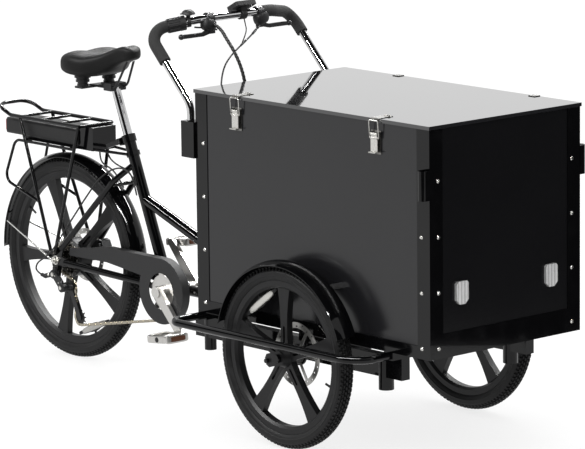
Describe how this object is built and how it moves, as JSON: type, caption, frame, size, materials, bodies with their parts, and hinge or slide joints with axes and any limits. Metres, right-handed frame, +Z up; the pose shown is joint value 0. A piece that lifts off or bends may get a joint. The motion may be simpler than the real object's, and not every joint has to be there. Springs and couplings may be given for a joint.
{
  "type": "cargo tricycle",
  "caption": "Front-loading electric cargo tricycle with a black lidded box between cast front wheels, steered by a bar fixed to the box.",
  "frame": {"origin": "on the ground under the middle of the whole tricycle", "axes": "+X forward, +Y to the rider's left, +Z up"},
  "size_m": [2.152, 0.822, 1.144],
  "materials": {
    "black_paint": "gloss black powder coat",
    "panel": "film-faced black board, satin",
    "lid": "gloss black",
    "cast_wheel": "satin black cast wheel",
    "tyre": "matte black rubber",
    "steel": "bright steel",
    "chrome": "polished",
    "alloy": "bright alloy",
    "black_alloy": "black anodised",
    "black_plastic": "matte black",
    "foam": "black foam",
    "lens": "clear reflector",
    "cable": "black sleeve",
    "saddle": "black synthetic leather"
  },
  "bodies": {
    "carriage": {"box_sides": "panel", "box_end_panels": "panel", "box_floor": "panel", "corner_posts": "black_paint", "bottom_rails": "black_paint", "chassis_frame": "black_paint", "wheel_guards": "black_paint", "front_fenders": "black_paint", "corner_sockets": "black_paint", "handlebar": "chrome", "handlebar_grips": "foam", "lever_brackets": "black_alloy", "display_unit": "black_plastic", "bell": "black_plastic", "brake_calipers": "black_alloy", "front_reflectors": "lens", "box_screws": "steel", "box_fittings": "steel", "control_cables": "cable"},
    "lid": {"lid_panel": "lid", "lid_fittings": "steel"},
    "latch_lever_front": {"latch_lever_front": "steel"},
    "latch_lever_rear": {"latch_lever_rear": "steel"},
    "latch_bail_front": {"latch_bail_front": "steel"},
    "latch_bail_rear": {"latch_bail_rear": "steel"},
    "front_wheel_right": {"front_wheel_right": "cast_wheel", "front_tyre_right": "tyre", "wheel_fittings_right": "steel"},
    "front_wheel_left": {"front_wheel_left": "cast_wheel", "front_tyre_left": "tyre", "wheel_fittings_left": "steel"},
    "rear_frame": {"main_frame": "black_paint", "rear_rack": "black_paint", "rear_fender": "black_paint", "chain_case": "black_plastic", "derailleur": "black_alloy", "rear_axle": "steel", "chain": "steel", "seat_clamp": "black_paint", "rear_cables": "cable", "rear_caliper": "black_alloy"},
    "battery": {"battery": "black_plastic"},
    "rear_wheel": {"rear_wheel": "cast_wheel", "rear_tyre": "tyre", "wheel_fittings_rear": "steel"},
    "cassette": {"cassette": "steel"},
    "crankset": {"crankset": "alloy"},
    "pedal_right": {"pedal_right": "alloy"},
    "pedal_left": {"pedal_left": "alloy"},
    "seat": {"seat_post": "chrome", "saddle": "saddle", "saddle_frame": "black_alloy"},
    "seat_clamp_lever": {"seat_clamp_lever": "black_alloy"},
    "brake_lever_right": {"brake_lever_right": "black_alloy"},
    "brake_lever_left": {"brake_lever_left": "black_alloy"},
    "twist_shifter": {"twist_shifter": "black_plastic"},
    "derailleur_cage": {"derailleur_cage": "black_alloy"},
    "upper_pulley": {"upper_pulley": "black_plastic"},
    "lower_pulley": {"lower_pulley": "black_plastic"},
    "bell_lever": {"bell_lever": "black_plastic"}
  },
  "joints": [
    {"name": "steer", "type": "hinge", "parent": "carriage", "child": "rear_frame", "pos_m": [0.09, 0, 0.3055], "axis": [0, 0, 1], "range_deg": [-40, 40]},
    {"name": "lid", "type": "hinge", "parent": "carriage", "child": "lid", "pos_m": [0.6325, 0.291, 0.927], "axis": [-1, 0, 0], "range_deg": [0, 100]},
    {"name": "latch_lever_front", "type": "hinge", "parent": "carriage", "child": "latch_lever_front", "pos_m": [0.867, -0.289, 0.895], "axis": [-1, 0, 0], "range_deg": [0, 150]},
    {"name": "latch_bail_front", "type": "hinge", "parent": "latch_lever_front", "child": "latch_bail_front", "pos_m": [0.867, -0.289, 0.884], "axis": [-1, 0, 0], "range_deg": [-150, 0]},
    {"name": "latch_lever_rear", "type": "hinge", "parent": "carriage", "child": "latch_lever_rear", "pos_m": [0.309, -0.289, 0.895], "axis": [-1, 0, 0], "range_deg": [0, 150]},
    {"name": "latch_bail_rear", "type": "hinge", "parent": "latch_lever_rear", "child": "latch_bail_rear", "pos_m": [0.309, -0.289, 0.884], "axis": [-1, 0, 0], "range_deg": [-150, 0]},
    {"name": "front_wheel_right", "type": "hinge", "parent": "carriage", "child": "front_wheel_right", "pos_m": [0.569, -0.342, 0.254], "axis": [0, 1, 0], "continuous": true},
    {"name": "front_wheel_left", "type": "hinge", "parent": "carriage", "child": "front_wheel_left", "pos_m": [0.569, 0.342, 0.254], "axis": [0, 1, 0], "continuous": true},
    {"name": "rear_wheel", "type": "hinge", "parent": "rear_frame", "child": "rear_wheel", "pos_m": [-0.76, 0, 0.303], "axis": [0, 1, 0], "continuous": true},
    {"name": "crank", "type": "hinge", "parent": "rear_frame", "child": "crankset", "pos_m": [-0.29, 0, 0.272], "axis": [0, 1, 0], "continuous": true, "deforming": ["chain"]},
    {"name": "cassette", "type": "hinge", "parent": "rear_frame", "child": "cassette", "pos_m": [-0.76, -0.049, 0.303], "axis": [0, 1, 0], "continuous": true, "deforming": ["chain"]},
    {"name": "pedal_right", "type": "hinge", "parent": "crankset", "child": "pedal_right", "pos_m": [-0.18751, -0.125, 0.15976], "axis": [0, 1, 0], "continuous": true},
    {"name": "pedal_left", "type": "hinge", "parent": "crankset", "child": "pedal_left", "pos_m": [-0.39249, 0.125, 0.38425], "axis": [0, 1, 0], "continuous": true},
    {"name": "derailleur_cage", "type": "hinge", "parent": "rear_frame", "child": "derailleur_cage", "pos_m": [-0.72, -0.049, 0.226], "axis": [0, 1, 0], "range_deg": [-15, 20], "stiffness_Nm_per_rad": 3, "deforming": ["chain"]},
    {"name": "upper_pulley", "type": "hinge", "parent": "derailleur_cage", "child": "upper_pulley", "pos_m": [-0.72, -0.049, 0.226], "axis": [0, 1, 0], "continuous": true, "deforming": ["chain"]},
    {"name": "lower_pulley", "type": "hinge", "parent": "derailleur_cage", "child": "lower_pulley", "pos_m": [-0.678, -0.049, 0.136], "axis": [0, 1, 0], "continuous": true, "deforming": ["chain"]},
    {"name": "seat_height", "type": "slide", "parent": "rear_frame", "child": "seat", "axis": [-0.3714, 0, 0.9285], "range_m": [-0.08, 0.05]},
    {"name": "seat_clamp_lever", "type": "hinge", "parent": "rear_frame", "child": "seat_clamp_lever", "pos_m": [-0.52204, -0.0185, 0.68102], "axis": [-0.3714, 0, 0.9285], "range_deg": [0, 110]},
    {"name": "brake_lever_right", "type": "hinge", "parent": "carriage", "child": "brake_lever_right", "pos_m": [-0.004, -0.102, 1.07], "axis": [-1, 0, 0], "range_deg": [0, 12], "stiffness_Nm_per_rad": 2},
    {"name": "brake_lever_left", "type": "hinge", "parent": "carriage", "child": "brake_lever_left", "pos_m": [-0.004, 0.084, 1.07], "axis": [1, 0, 0], "range_deg": [0, 12], "stiffness_Nm_per_rad": 2},
    {"name": "twist_shifter", "type": "hinge", "parent": "carriage", "child": "twist_shifter", "pos_m": [-0.04561, -0.19535, 1.09133], "axis": [0.4517, 0.8783, 0.1568], "range_deg": [-60, 60]},
    {"name": "bell_lever", "type": "hinge", "parent": "carriage", "child": "bell_lever", "pos_m": [-0.02912, -0.16329, 1.11656], "axis": [0, 0, 1], "range_deg": [0, 35], "stiffness_Nm_per_rad": 0.05},
    {"name": "battery", "type": "slide", "parent": "rear_frame", "child": "battery", "axis": [-1, 0, 0], "range_m": [0, 0.36]}
  ],
  "couplings": [
    {"joint": "cassette", "follows": "crank", "ratio": 2.3333},
    {"joint": "upper_pulley", "follows": "crank", "ratio": -3.8182},
    {"joint": "lower_pulley", "follows": "crank", "ratio": 3.8182},
    {"joint": "latch_bail_front", "follows": "latch_lever_front", "ratio": -1},
    {"joint": "latch_bail_rear", "follows": "latch_lever_rear", "ratio": -1}
  ]
}
